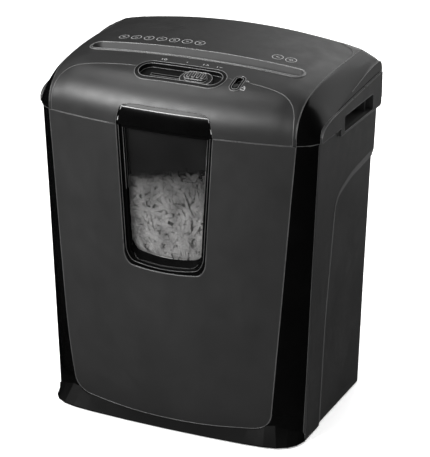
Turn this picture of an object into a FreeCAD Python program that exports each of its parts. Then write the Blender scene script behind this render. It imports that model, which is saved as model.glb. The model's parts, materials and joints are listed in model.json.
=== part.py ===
import FreeCAD, Part
import os
from math import cos, sin, pi, radians, sqrt, hypot, atan2, tan

# Desk-side paper shredder: a waste bin with a lift-off cutting head.
# Millimetres. +X is the user's right as they face the front, +Y the rear, +Z up.
# The origin is on the floor, under the middle of the outline.

# ---------------------------------------------------------------- driving dimensions
SEAM = 328.6            # height of the joint between bin and head
GAP = 0.4               # shadow gap left between covers
FRONT = -99.0           # foremost line of the bowed front, on the middle plane
REAR = 96.0             # rear wall of the bin
REAR_CORNER = 6.5       # plan radius of the bin's rear corners
BOW_RADIUS = 590.0      # plan radius of the bowed front
TRIM_X = 136.0          # where the covers meet the gloss trims, at the head
SIDE_X = 155.0          # where the gloss trims meet the side panels, at the head
PANEL_X = 156.5         # outer face of the head's side panels
WALL = 2.6              # moulded wall thickness
FLOOR = 2.0             # underside of the bin, above the feet
FRONT_SKIN = 3.0        # thickness of the front panel and of the gloss frame
GLOSS_EDGE_Y = -64.5    # where the gloss frame meets the bin's side wall

FEED_Y = -22.5          # middle of the feed mouth
FEED_HALF = 119.5       # half length of the feed mouth
FEED_WIDTH = 20.5
CUT_Y = -20.0           # nip between the two cutting shafts
AXIS_Z = 343.0          # height of every shaft axis
SHAFT_SPACING = 27.0
PLATE_X = 116.0         # inner face of the cutter frame's end plates
PLATE_THICK = 2.5
DISC_R, SPACER_R = 15.5, 9.0
DISC_THICK, DISC_PITCH = 3.8, 8.0
DISC_TEETH = 4
HEX_FLATS = 11.0
JOURNAL_R = 4.0
RUNNING = 0.05          # radial running clearance of every journal

SYNC_TEETH, SYNC_MODULE = 18, 1.5
SLOW_TEETH, SLOW_PINION, SLOW_MODULE = 22, 12, 1.5
FAST_TEETH, FAST_PINION, FAST_MODULE = 44, 12, 1.0

FRONT_Y = CUT_Y - SHAFT_SPACING / 2
REAR_Y = CUT_Y + SHAFT_SPACING / 2
IDLER_Y = REAR_Y + SLOW_MODULE * (SLOW_TEETH + SLOW_PINION) / 2
MOTOR_Y = IDLER_Y + FAST_MODULE * (FAST_TEETH + FAST_PINION) / 2
MOTOR_R = 26.0

CONTROL = (2.0, -62.3)  # middle of the sliding control's pocket, in plan
CONTROL_LENGTH, CONTROL_WIDTH = 99.0, 31.0
SLIDER_X = 18.5         # where the slider stands, on its automatic setting
LOCK = (64.3, -62.3)    # middle of the safety lock's pocket, in plan
LOCK_LENGTH, LOCK_WIDTH = 24.0, 11.5
LEVER_PIVOT = (-42.0, 364.5)          # y and z of the paper lever's pin
DECK_TILT = 19.0        # slope of the deck that carries the two controls

HANDLE = (-7.5, 71.5, 322.6, 339.6)   # grip opening in each side: y from, y to, z from, z to
CUP_BACK = 139.0                      # inner face of the grip's back wall

FOOT_PLACES = [(x, y) for x in (-104.0, 104.0) for y in (-58.0, 72.0)]
SCREW_PLACES = [(-124.0, -70.0), (124.0, -70.0), (-100.0, 84.4), (84.0, 84.4)]
TIE_PLACES = [(-52.0, 322.0), (-52.0, 353.8), (14.0, 354.6)]      # y and z of the tie rods

V = FreeCAD.Vector
parts = {}


# ---------------------------------------------------------------- small tools
def line(a, b):
    return Part.LineSegment(V(*a), V(*b)).toShape()


def arc(a, through, b):
    return Part.Arc(V(*a), V(*through), V(*b)).toShape()


def spline(points, parameters=None):
    curve = Part.BSplineCurve()
    vectors = [V(*p) for p in points]
    if parameters:
        curve.interpolate(Points=vectors, Parameters=parameters)
    else:
        curve.interpolate(vectors)
    return curve.toShape()


def closed(edges):
    return Part.Wire(edges)


def slab(wire, direction):
    return Part.Face(wire).extrude(V(*direction))


def polygon(points):
    return Part.makePolygon([V(*p) for p in points] + [V(*points[0])])


def block(x0, x1, y0, y1, z0, z1):
    return Part.makeBox(x1 - x0, y1 - y0, z1 - z0, V(x0, y0, z0))


def rod_x(radius, x0, x1, y, z):
    return Part.makeCylinder(radius, x1 - x0, V(x0, y, z), V(1, 0, 0))


def rod_z(radius, x, y, z0, z1):
    return Part.makeCylinder(radius, z1 - z0, V(x, y, z0))


def mirrored(shape):
    return shape.mirror(V(0, 0, 0), V(1, 0, 0))


def both_sides(shape):
    return shape.fuse(mirrored(shape))


def stadium(length, width, z0, z1):
    """Prism with round ends, long way along x, centred on the origin."""
    r, h = width / 2, (length - width) / 2
    wire = closed([
        line((-h, -r, z0), (h, -r, z0)), arc((h, -r, z0), (h + r, 0, z0), (h, r, z0)),
        line((h, r, z0), (-h, r, z0)), arc((-h, r, z0), (-h - r, 0, z0), (-h, -r, z0))])
    return slab(wire, (0, 0, z1 - z0))


def stadium_wire(length, width, y, z):
    r, h = width / 2, (length - width) / 2
    return closed([
        line((-h, y - r, z), (h, y - r, z)), arc((h, y - r, z), (h + r, y, z), (h, y + r, z)),
        line((h, y + r, z), (-h, y + r, z)), arc((-h, y + r, z), (-h - r, y, z), (-h, y - r, z))])


def on_deck(shape, place):
    """Moves a shape made about the origin onto the sloping control deck."""
    x, y = place
    deck = FreeCAD.Placement(V(x, y, head_top(x, y)), FreeCAD.Rotation(V(1, 0, 0), DECK_TILT))
    shape = shape.copy()
    shape.Placement = deck.multiply(shape.Placement)
    return shape


def quarter_turn(shape):
    """The same shape turned so that its long way runs from front to rear."""
    shape = shape.copy()
    turn = FreeCAD.Placement(V(0, 0, 0), FreeCAD.Rotation(V(0, 0, 1), 90))
    shape.Placement = turn.multiply(shape.Placement)
    return shape


def outward(solid):
    """The same solid with its faces turned outwards."""
    if solid.Volume < 0:
        solid.reverse()
    return solid


def keep(name, shape):
    parts[name] = shape


# ---------------------------------------------------------------- outer form of the head
def bow(x):
    """Plan curve of the front, at distance x from the middle."""
    x = abs(x)
    y = FRONT + min(x, TRIM_X) ** 2 / (2 * BOW_RADIUS)
    s = max(0.0, x - TRIM_X) / (SIDE_X - TRIM_X)
    return y + 7.0 * s + 10.5 * s * s


def rearward(y):
    """0 over the front half of the head, rising smoothly to 1 at its rear edge."""
    t = min(1.0, max(0.0, (y + 40.0) / 130.0))
    return t * t * (3 - 2 * t)


def crown(x, y):
    """How far the top has dropped at distance x from the middle; squarer towards the rear."""
    x, b = abs(x), rearward(y)
    inner = min(x, TRIM_X)
    s = max(0.0, x - TRIM_X) / (SIDE_X - TRIM_X)
    shoulder = max(0.0, inner - 112.0) / 24.0
    arch = (5.0 + 4.2 * b) * (inner / 112.0) ** 2 + (4.4 - 3.4 * b) * shoulder ** 2
    return arch + (12.5 - 4.0 * b) * s + (14.6 - 12.9 * b) * s * s


def ridge(x, y):
    """Height of the top without the rounding of its front edge."""
    return 391.0 + 2.6 * rearward(y) - 12.0 * (max(0.0, 75.0 - y) / 137.5) ** 3.4 - crown(x, y)


BASE, NOSE_DEPTH, NOSE_POWER = 333.0, 36.0, 2.6


def head_top(x, y):
    """Height of the outer surface of the head at a point in plan."""
    behind = (bow(x) + NOSE_DEPTH - y) / NOSE_DEPTH
    if behind <= 0:
        return ridge(x, y)
    if behind >= 1:
        return BASE
    return BASE + (ridge(x, y) - BASE) * (1 - behind ** NOSE_POWER) ** (1 / NOSE_POWER)


def spaced(run, count):
    """The same path as count points, evenly spaced along it."""
    lengths = [0.0]
    for p, q in zip(run, run[1:]):
        lengths.append(lengths[-1] + hypot(q[0] - p[0], q[1] - p[1]))
    result, k = [], 0
    for i in range(count):
        want = lengths[-1] * i / (count - 1)
        while k < len(run) - 2 and lengths[k + 1] < want:
            k += 1
        t = (want - lengths[k]) / (lengths[k + 1] - lengths[k])
        result.append(tuple(a + (b - a) * t for a, b in zip(run[k], run[k + 1])))
    return result


def head_profile(x, inset, foot):
    """Points along the side profile of the head at x, drawn in by inset."""
    start = bow(x)
    path = [(start, foot), (start, BASE)]
    for degree in range(5, 90, 5):
        y = start + NOSE_DEPTH * (1 - cos(radians(degree)) ** (2 / NOSE_POWER))
        path.append((y, head_top(x, y)))
    path += [(float(y), ridge(x, y)) for y in range(int(start + NOSE_DEPTH) + 2, 80, 6)]
    tight = (abs(x) / SIDE_X) ** 4
    turn, depth, drop = 82.0 + 6.0 * tight, 18.4 - 8.4 * tight, 28.0 - 16.0 * tight
    for degree in range(0, 91, 9):
        a = radians(degree)
        path.append((turn + depth * sin(a) ** 0.85, ridge(x, 85.0) - drop * (1 - cos(a) ** 0.85)))
    path.append((96.0, foot))
    drawn = [(start + inset, foot)]
    for p, q, r in zip(path, path[1:], path[2:]):
        dy, dz = r[0] - p[0], r[1] - p[1]
        length = hypot(dy, dz)
        drawn.append((q[0] + inset * dz / length, q[1] - inset * dy / length))
    drawn.append((96.0 - inset, foot))
    return [(x, y, z) for y, z in spaced(drawn, 40)]


def head_body(inset=0.0, foot=SEAM + GAP):
    """Closed solid of the head's outer form, or of the space inside a wall of the given inset."""
    half = [0, 30, 60, 85, 105, 118, 127, TRIM_X, 141, 146, 150, SIDE_X - inset]
    stations = [-x for x in reversed(half[1:])] + half
    surface = Part.BSplineSurface()
    surface.interpolate([[V(*p) for p in head_profile(x, inset, foot)] for x in stations])
    skin = surface.toShape()
    u0, u1, v0, v1 = surface.bounds()
    left, right = surface.uIso(u0).toShape(), surface.uIso(u1).toShape()
    front, rear = surface.vIso(v0).toShape(), surface.vIso(v1).toShape()

    def chord(a, b):
        return line(tuple(a), tuple(b))

    ends = [surface.value(u, v) for u, v in ((u0, v0), (u0, v1), (u1, v0), (u1, v1))]
    left_foot, right_foot = chord(ends[0], ends[1]), chord(ends[2], ends[3])
    faces = [skin, Part.Face(Part.Wire(Part.sortEdges([left, left_foot])[0])),
             Part.Face(Part.Wire(Part.sortEdges([right, right_foot])[0])),
             Part.Face(Part.Wire(Part.sortEdges([front, right_foot, rear, left_foot])[0]))]
    shell = Part.makeShell(faces)
    shell.sewShape()
    return outward(Part.makeSolid(shell))


# ---------------------------------------------------------------- outer form of the bin
def side_x(z):
    """Half width of the bin's side walls."""
    return 143.4 + 3.3 * z / 119.0 if z < 119.0 else 146.7 + 6.8 * (z - 119.0) / (SEAM - 119.0)


def panel_x(z):
    """Half width of the matt front panel."""
    return 136.0 - 0.0713 * (SEAM - z) - 0.00022 * max(0.0, 119.0 - z) ** 2


def tuck(z):
    """How far the front leans back towards the foot."""
    return 5.0 * max(0.0, (119.0 - z) / 90.0) ** 2


def bin_section(z, inset):
    front, half, side = FRONT + tuck(z) + inset, panel_x(z), side_x(z) - inset
    edge_y = front + half ** 2 / (2 * BOW_RADIUS)
    turn = (side, GLOSS_EDGE_Y + 2.0, z)
    corner = ((half + side) / 2 + 2.2, (edge_y + turn[1]) / 2 - 2.6, z)
    r, rear = max(1.5, REAR_CORNER - inset), REAR - inset
    k = r * (1 - sqrt(0.5))

    def flip(p):
        return (-p[0], p[1], p[2])

    edge, rise = (half, edge_y, z), (side, rear - r, z)
    rear_mid, rear_end = (side - k, rear - k, z), (side - r, rear, z)
    return closed([
        arc(flip(edge), (0, front, z), edge), arc(edge, corner, turn), line(turn, rise),
        arc(rise, rear_mid, rear_end), line(rear_end, flip(rear_end)),
        arc(flip(rear_end), flip(rear_mid), flip(rise)), line(flip(rise), flip(turn)),
        arc(flip(turn), flip(corner), flip(edge))])


def bin_body(inset, low, high):
    heights = [low + (high - low) * step / 12 for step in range(13)]
    return Part.makeLoft([bin_section(z, inset) for z in heights], True, False)


def panel_outline(clear):
    """Front view of the matt panel: tapering sides, rounded feet and a bowed lower edge."""
    top, low = SEAM - GAP, 34.0
    right = [(panel_x(z) - clear, 0, z) for z in (top, 230.0, 119.0, 74.0, low)]
    corner = [(panel_x(low) - clear - 3.0, 0, 25.0 + clear), (104.0, 0, 18.5 + clear)]
    foot = [(90.0, 0, 15.0 + clear), (46.0, 0, 11.2 + clear), (0, 0, 10.0 + clear)]

    def flip(run):
        return [(-x, y, z) for x, y, z in reversed(run)]

    base = [right[-1]] + corner + foot
    return closed([line(flip(right)[-1], right[0]), spline(right), spline(base + flip(base)[1:]),
                   spline(flip(right))])


def window_outline(grow, y, top=SEAM - GAP, lift=0.0):
    """Front view of the viewing window, tapering down to a gently bowed foot raised by lift."""
    half_top, half_low, low = 53.6 + grow, 46.2 + grow, 195.0 + lift
    k = half_top - half_low

    def half(z):
        return half_low + k * (z - low) / (SEAM - low)

    foot = [(half_low, y, low), (half_low - 2.0, y, low - 8.5 - grow), (half_low - 6.5, y, low - 14.0 - grow),
            (half_low - 14.0, y, low - 16.0 - grow), (0, y, low - 17.8 - grow)]
    run = foot + [(-a, b, c) for a, b, c in reversed(foot[:-1])]
    return closed([line((-half(top), y, top), (half(top), y, top)),
                   line((half(top), y, top), foot[0]), spline(run), line(run[-1], (-half(top), y, top))])


# ---------------------------------------------------------------- bin
def side_recess():
    """Shallow hand-hold recess towards the rear of each side, as one cutter for both."""
    front = [(0, -27.5, -5), (0, -27.5, 39), (0, -25.5, 115), (0, -20.5, 179), (0, -17.5, 211),
             (0, -16.0, 238), (0, -12.0, 249), (0, -4.0, 257.5), (0, 12.0, 263.5), (0, 28.0, 268),
             (0, 56.0, 271), (0, 110.0, 276)]
    edges = [spline(front), line(front[-1], (0, 110, -5)), line((0, 110, -5), front[0])]
    prism = slab(closed(edges), (30, 0, 0))
    prism.translate(V(139.0, 0, 0))
    core = bin_body(2.6, FLOOR - 1.0, SEAM)
    half = prism.cut(core)
    return half.fuse(mirrored(half))


def skirt():
    """Flared foot of the gloss frame, wrapped round the front and both front corners."""
    outline = [((0, -100.4), (0, 9.7)), ((45, -99.7), (45, 10.9)), ((88, -97.8), (88, 14.6)),
               ((110, -95.6), (106, 20.5)), ((123, -92.3), (117, 22.0)), ((132.6, -86.4), (128.5, 18.5)),
               ((139.6, -77.6), (138.0, 14.0)), ((143.6, GLOSS_EDGE_Y - GAP), (143.4, 10.0))]

    def station(foot, crest, side):
        (bx, by), (ux, uz) = foot, crest
        edge_y = FRONT + tuck(uz) + panel_x(uz) ** 2 / (2 * BOW_RADIUS)
        s = max(0.0, ux - panel_x(uz)) / (side_x(uz) - panel_x(uz))
        uy = FRONT + tuck(uz) + ux ** 2 / (2 * BOW_RADIUS)
        if s > 0:
            uy = edge_y + (GLOSS_EDGE_Y - edge_y) * s ** 1.35
        reach = 1 + 6.0 / hypot(ux - bx, uy - by)
        ix, iy = bx + (ux - bx) * reach, by + (uy - by) * reach
        return polygon([(side * ix, iy, FLOOR), (side * bx, by, FLOOR), (side * bx, by, FLOOR + 1.2),
                        (side * ux, uy, uz), (side * ix, iy, uz)])

    left = [station(*s, -1) for s in reversed(outline[1:])]
    return outward(Part.makeLoft(left + [station(*s, 1) for s in outline], True, True))


def make_bin():
    outer = bin_body(0.0, FLOOR, SEAM - 0.2)
    skin_core = bin_body(FRONT_SKIN, FLOOR - 1.0, SEAM + 1.0)
    skin = outer.cut(skin_core)
    panel_prism = slab(panel_outline(0.0), (0, 60.0, 0))
    panel_prism.translate(V(0, -120.0, 0))
    panel_hole = slab(panel_outline(-GAP), (0, 60.0, 0))
    panel_hole.translate(V(0, -120.0, 0))
    foot = skirt()
    window_hole = slab(window_outline(0.0, -120.0, SEAM + 5), (0, 60.0, 0))

    front_zone = block(-170, 170, -130, GLOSS_EDGE_Y - GAP, -1, SEAM - GAP)
    gloss = skin.common(front_zone).fuse(foot)
    panel = skin.common(panel_prism)
    gloss = gloss.cut(panel_hole.cut(skin_core))
    keep("front_panel", panel.cut(window_hole))
    keep("gloss_frame", gloss)

    cavity = bin_body(FRONT_SKIN + WALL + 1.4, FLOOR + 3.0, SEAM + 1.0)
    step = block(-170, 170, -130, GLOSS_EDGE_Y, -1, SEAM + 5)
    front_skin_zone = step.cut(skin_core)
    rim_notch = both_sides(block(130, 170, -16.5, 110, 320.2, SEAM + 5))
    shell = outer.cut(front_skin_zone).cut(cavity).cut(side_recess()).cut(rim_notch).cut(foot)
    behind_window = slab(window_outline(-6.5, -120.0, 325.6), (0, 60.0, 0))
    shell = shell.cut(behind_window)
    for x, y in FOOT_PLACES:
        shell = shell.cut(rod_z(11.2, x, y, 0.0, 3.2))
    keep("bin_shell", shell)

    depth = bin_body(9.5, FLOOR, SEAM + 1.0)
    clear = slab(window_outline(-GAP, -120.0), (0, 60.0, 0))
    frame = bin_body(0.4, FLOOR, SEAM - 0.2).cut(depth).common(clear)
    mouth = Part.makeLoft([window_outline(-1.6, FRONT - 2.0, SEAM + 1),
                           window_outline(-6.0, FRONT + 13.0, SEAM + 1, 10.5)], True, True)
    keep("window_frame", frame.cut(mouth).cut(parts["bin_shell"]))
    pane_core = bin_body(8.6, FLOOR, SEAM + 1.0).cut(bin_body(10.2, FLOOR - 1, SEAM + 2.0))
    pane = pane_core.common(slab(window_outline(-5.0, -120.0, 327.4, 9.0), (0, 60.0, 0)))
    keep("window_pane", pane.cut(parts["window_frame"]).cut(parts["bin_shell"]))

    feet = [rod_z(11.0, x, y, 0.0, 3.1) for x, y in FOOT_PLACES]
    keep("rubber_feet", Part.Compound([pad.makeFillet(0.8, [pad.Edges[2]]) for pad in feet]))

    tongue = block(-126.0, -114.0, 80.0, 88.95, 300.0, 333.6).cut(block(-127, -113, 70, 86.8, 290, 322))
    keep("interlock_tongue", tongue)
    heap = bin_body(12.0, FLOOR + 4.0, 282.0)
    slope = slab(polygon([(-170, -120, 281.0), (-170, -60, 279.0), (-170, 120, 236.0), (-170, 120, 300.0),
                          (-170, -120, 300.0)]), (340, 0, 0))
    keep("paper_shreds", heap.cut(slope))


# ---------------------------------------------------------------- head covers
def bezel_region(clear):
    """Plan of the front bezel: a wide arch with a squared-off superellipse crown."""
    half, depth, base = 134.0 - clear, 52.0 - clear, -110.0
    points = []
    for degree in (0, 12, 24, 36, 48, 60, 72, 82, 90):
        a = radians(degree)
        points.append((half * max(0.0, cos(a)) ** 0.4, base + depth * sin(a) ** 0.4, 320.0))
    points += [(-x, y, z) for x, y, z in reversed(points[:-1])]
    return slab(closed([spline(points), line(points[-1], points[0])]), (0, 0, 90))


def side_prism(clear, x0, x1):
    """Outline of the side panel above the joint, as a prism along x, drawn in by clear."""
    crest = [(-65.6 + clear, 335.2), (-61.5, 340.2), (-54.0, 343.9), (-45.0, 346.2), (-33.0, 347.7),
             (-20.0, 348.6), (7.0, 350.8), (34.0, 352.7), (62.0, 354.5), (96.6 - clear, 356.4)]
    points = [(x0, y, z - clear) for y, z in crest]
    front, rear = (x0, points[0][1], SEAM + GAP), (x0, points[-1][1], SEAM + GAP)
    return slab(closed([line(front, points[0]), spline(points), line(points[-1], rear), line(rear, front)]),
                (x1 - x0, 0, 0))


def feed_funnel():
    """Liner that guides the paper from the mouth down to the nip."""
    low = 360.5
    mouth = stadium_wire(2 * FEED_HALF - 2.0, FEED_WIDTH - 2.0, FEED_Y, 389.0)
    throat = stadium_wire(228.0, 6.0, CUT_Y, low - 0.5)
    passage = Part.makeLoft([throat, mouth], True, True)
    outer_low = stadium_wire(232.0, 10.0, CUT_Y, low)
    outer_high = stadium_wire(2 * FEED_HALF - 0.8, FEED_WIDTH - 0.8, FEED_Y, 377.0)
    outer_top = stadium_wire(2 * FEED_HALF - 0.8, FEED_WIDTH - 0.8, FEED_Y, 389.0)
    body = Part.makeLoft([outer_low, outer_high], True, True)
    body = body.fuse(Part.makeLoft([outer_high, outer_top], True, True))
    liner = body.common(head_body(-0.5)).cut(passage)
    ears = block(-6.0, 6.0, -48.0, -24.0, 360.6, 369.0).cut(passage)
    slot = block(-2.6, 2.6, -50.0, -13.0, 355.0, 370.0)
    return liner.fuse(ears).cut(slot).cut(rod_x(1.0, -8.0, 8.0, *LEVER_PIVOT))


def make_covers():
    outer = head_body()
    shell = outer.cut(head_body(WALL, SEAM - 10.0))
    middle = block(-TRIM_X + 0.3, TRIM_X - 0.3, -130, 130, 300, 400)
    rear_zone = block(-151.5, 151.5, 88.0, 110.0, 320.0, 350.0)
    rear_cut = block(-151.9, 151.9, 88.0 - GAP, 110.0, 320.0, 350.0 + GAP)

    cover = shell.common(middle).cut(bezel_region(-0.15)).cut(rear_cut)
    bezel = shell.common(middle).common(bezel_region(0.2))
    pocket = on_deck(stadium(CONTROL_LENGTH + 0.6, CONTROL_WIDTH + 0.6, -20, 12), CONTROL)
    lock_hole = on_deck(quarter_turn(stadium(LOCK_LENGTH + 0.6, LOCK_WIDTH + 0.6, -20, 12)), LOCK)
    mouth = slab(stadium_wire(2 * FEED_HALF, FEED_WIDTH, FEED_Y, 350.0), (0, 0, 60))
    cover = cover.cut(pocket).cut(lock_hole).cut(mouth)
    tab_hole = slab(tab_outline(0.0), (0, 40.0, 0))
    bezel = bezel.cut(pocket).cut(lock_hole).cut(tab_hole)
    keep("top_cover", cover)
    keep("control_bezel", bezel)
    keep("feed_funnel", feed_funnel())

    tab = head_body(0.9).cut(head_body(2.9, SEAM - 10)).common(slab(tab_outline(0.35), (0, 40.0, 0)))
    keep("window_tab", tab)

    trim = shell.common(block(TRIM_X + 0.3, SIDE_X + 1, -130, 130, 300, 400)).cut(rear_cut)
    trim = trim.cut(side_prism(0.2, SIDE_X - 2.8, SIDE_X + 2.0))
    keep("trim_right", trim)
    keep("trim_left", mirrored(trim))

    rear = shell.common(rear_zone)
    flat = FreeCAD.Rotation(V(1, 0, 0), -90)
    for row in range(4):
        for column in range(8):
            vent = stadium(16.0, 3.0, 0, 30)
            vent.Placement = FreeCAD.Placement(V(-77.0 + 22.0 * column, 80, 333.5 + row * 3.6), flat)
            rear = rear.cut(vent)
    inlet = Part.makeCylinder(6.0, 40, V(118, 75, 339.5), V(0, 1, 0))
    keep("rear_panel", rear.cut(inlet))
    gland = Part.makeCylinder(5.9, 8.5, V(118, 92.0, 339.5), V(0, 1, 0))
    gland = gland.fuse(Part.makeCylinder(7.6, 1.6, V(118, 92.6, 339.5), V(0, 1, 0)))
    keep("cord_gland", gland.cut(Part.makeCylinder(3.4, 20, V(118, 85.0, 339.5), V(0, 1, 0))).cut(
        rear.cut(inlet)))

    plate = side_prism(0.5, SIDE_X - 2.4, PANEL_X)
    drop = block(SIDE_X - 2.4, PANEL_X, -15.5, 95.0, 320.8, 333.0)
    drop = drop.makeFillet(4.0, [e for e in drop.Edges if abs(e.BoundBox.YMin - 95.0) < 0.1
                                 and e.BoundBox.ZLength < 0.1 and e.BoundBox.ZMin < 321])
    y0, y1, z0, z1 = HANDLE
    grip = block(SIDE_X - 20, PANEL_X + 5, y0, y1, z0, z1)
    grip = grip.makeFillet(3.0, [e for e in grip.Edges if e.BoundBox.XLength > 5])
    panel = plate.fuse(drop).cut(grip)
    keep("side_panel_right", panel)
    keep("side_panel_left", mirrored(panel))
    cup = block(CUP_BACK - 1.8, SIDE_X - 2.5, y0 - 2.2, y1 + 2.2, z0 - 2.2, z1 + 2.2)
    hollow = block(CUP_BACK, SIDE_X + 3, y0, y1, z0, z1)
    rib = block(CUP_BACK - 0.5, SIDE_X - 4.0, 61.0, 63.0, z0 - 0.5, z1 + 0.5)
    cup = cup.cut(hollow).fuse(rib)
    keep("handle_cup_right", cup)
    keep("handle_cup_left", mirrored(cup))


def tab_outline(clear):
    """Front view of the glossy finger tab above the window."""
    y, low = -110.0, SEAM + GAP - 0.6 + clear
    right = [(53.4 - clear, y, low), (52.3 - clear, y, 337.0), (50.6 - clear, y, 344.0)]
    crown_run = [right[-1], (47.8 - clear, y, 348.6 - clear), (42.0 - clear, y, 350.9 - clear),
                 (20.0, y, 351.9 - clear), (0.0, y, 352.2 - clear)]
    run = crown_run + [(-a, b, c) for a, b, c in reversed(crown_run[:-1])]
    left = [(-a, b, c) for a, b, c in reversed(right)]
    return closed([spline(right), spline(run), spline(left), line(left[-1], right[0])])


# ---------------------------------------------------------------- controls
def make_controls():
    skin = head_body(-0.45)
    inner_length, inner_width = CONTROL_LENGTH - 8.0, CONTROL_WIDTH - 8.5
    tray = stadium(CONTROL_LENGTH, CONTROL_WIDTH, -7.5, 8)
    tray = tray.cut(stadium(inner_length, inner_width, -6.0, 12))
    slot = block(-33.6, 33.6, -1.6, 1.6, -12, 0)
    tray = on_deck(tray.cut(slot), CONTROL).common(skin)
    keep("control_tray", tray)

    slider = stadium(34.0, inner_width - 1.4, -5.5, -3.7)
    pad = stadium(24.0, 11.0, -3.9, -1.0)
    ridges = [block(-7.6 + 5.2 * i, -5.0 + 5.2 * i, -4.4, 4.4, -1.2, 0.9) for i in range(4)]
    stem = block(-5.0, 5.0, -1.2, 1.2, -11.5, -5.4)
    for piece in [pad] + ridges + [stem]:
        slider = slider.fuse(piece)
    slider.translate(V(SLIDER_X - CONTROL[0], 0, 0))
    keep("mode_slider", on_deck(slider, CONTROL))
    switch = block(-37.0, 37.0, -7.0, 7.0, -21.5, -8.0).cut(block(-34.5, 34.5, -2.0, 2.0, -12.5, 0))
    keep("mode_switch", on_deck(switch, CONTROL))

    well = stadium(LOCK_LENGTH, LOCK_WIDTH, -6.0, 8)
    well = well.cut(stadium(LOCK_LENGTH - 4.4, LOCK_WIDTH - 4.4, -4.6, 12))
    knob = stadium(9.6, LOCK_WIDTH - 5.4, -4.2, -1.4).fuse(stadium(5.0, LOCK_WIDTH - 6.6, -1.6, 0.4))
    knob.translate(V(-4.4, 0, 0))
    keep("lock_tray", on_deck(quarter_turn(well), LOCK).common(skin))
    keep("safety_lock", on_deck(quarter_turn(knob), LOCK))
    keep("lock_switch", on_deck(block(-5.0, 5.0, -9.5, 9.5, -13.0, -6.6), LOCK))


# ---------------------------------------------------------------- lower housing and safety parts
def make_housing():
    rim = head_body(WALL + 0.5, SEAM - 10.0).common(block(-170, 170, -130, 130, SEAM + GAP, SEAM + GAP + 2.4))
    well = block(-136.6, 136.6, -58.0, 80.0, 309.4, SEAM + GAP + 0.1)
    hollow = block(-134.8, 134.8, -56.2, 78.2, 311.2, SEAM + GAP + 5)
    chute = block(-113.5, 113.5, -44.0, 4.0, 300.0, 320.0)
    y0, y1, z0, z1 = HANDLE
    cup_space = both_sides(block(CUP_BACK - 2.2, 170, y0 - 2.6, y1 + 2.6, 300, 350))
    housing = rim.fuse(well).cut(hollow).cut(chute).cut(cup_space)
    housing = housing.cut(rod_z(2.2, -120.0, 84.9, 300, 350)).cut(block(-127.0, -113.0, 79.2, 92.0, 300, 336))
    for x, y in SCREW_PLACES:
        housing = housing.cut(rod_z(2.1, x, y, 300, 350))
    screws = [rod_z(2.0, x, y, 326.6, 345.0).fuse(rod_z(3.8, x, y, 326.6, 328.95))
              for x, y in SCREW_PLACES]
    keep("housing_screws", Part.Compound(screws))
    bosses = [rod_z(4.5, x, y, SEAM + GAP + 2.0, 352.0).cut(rod_z(2.05, x, y, 320, 346))
              for x, y in SCREW_PLACES]
    legs = [rod_z(3.0, x, y, SEAM + GAP + 2.0, 337.0) for x in (-52.0, 40.0) for y in (-82.0, -64.0)]
    for piece in bosses + legs:
        housing = housing.fuse(piece)
    keep("lower_housing", housing)

    body = block(-129.0, -111.0, 79.0, 90.0, 337.2, 347.0).cut(rod_z(2.3, -120.0, 84.9, 336, 344.5))
    keep("interlock_switch", body)
    plunger = rod_z(1.9, -120.0, 84.9, 333.9, 341.0).fuse(rod_z(2.8, -120.0, 84.9, 333.9, 334.9))
    keep("interlock_plunger", plunger)

    board = block(-58.0, 46.0, -88.0, -58.5, 337.0, 338.6)
    keep("circuit_board", board)
    cans = [rod_z(5.0, x, -74.0, 338.6, 352.0) for x in (-48.0, -34.0)]
    relay = block(-22.0, -4.0, -80.0, -66.0, 338.6, 350.0)
    sink = block(4.0, 30.0, -80.0, -76.0, 338.6, 354.0)
    keep("board_components", Part.Compound(cans + [relay, sink]))


# ---------------------------------------------------------------- cutting unit
def gear(teeth, module, x0, x1, y, phase, bore):
    """Spur gear about an axis along x, with a tooth at phase degrees from +Y towards +Z."""
    pitch, root, tip = module * teeth / 2, module * (teeth / 2 - 1.25), module * (teeth / 2 + 0.92)
    base = pitch * cos(radians(20))
    spread = (0.46 * pi * module) / (2 * pitch) + tan(radians(20)) - radians(20)
    outline = []
    for tooth in range(teeth):
        middle = 2 * pi * tooth / teeth + radians(phase)
        flank = []
        for i in range(5):
            r = max(base, root) + (tip - max(base, root)) * i / 4
            roll = sqrt(max(0.0, (r / base) ** 2 - 1))
            flank.append((r, spread - (roll - atan2(roll, 1))))
        flank = [(root, flank[0][1] + 0.02)] + flank
        for r, a in flank:
            outline.append((middle - a, r))
        for r, a in reversed(flank):
            outline.append((middle + a, r))
    points = [(x0, y + r * cos(a), AXIS_Z + r * sin(a)) for a, r in outline]
    return slab(polygon(points), (x1 - x0, 0, 0)).cut(rod_x(bore, x0 - 1, x1 + 1, y, AXIS_Z))


def disc_outline(x, y, phase):
    """Round cutting disc with a hooked notch in front of each tooth."""
    points = []
    for tooth in range(DISC_TEETH):
        start = 360.0 * tooth / DISC_TEETH + phase
        points.append((start, DISC_R - 2.4))
        for step in range(1, 9):
            points.append((start + 4.0 + step * (360.0 / DISC_TEETH - 6.0) / 8.0, DISC_R))
    return polygon([(x, y + r * cos(radians(a)), AXIS_Z + r * sin(radians(a))) for a, r in points])


def hexagon(x0, x1, y):
    r = HEX_FLATS / sqrt(3)
    ring = [(x0, y + r * cos(radians(60 * i)), AXIS_Z + r * sin(radians(60 * i))) for i in range(6)]
    return slab(polygon(ring), (x1 - x0, 0, 0))


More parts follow.
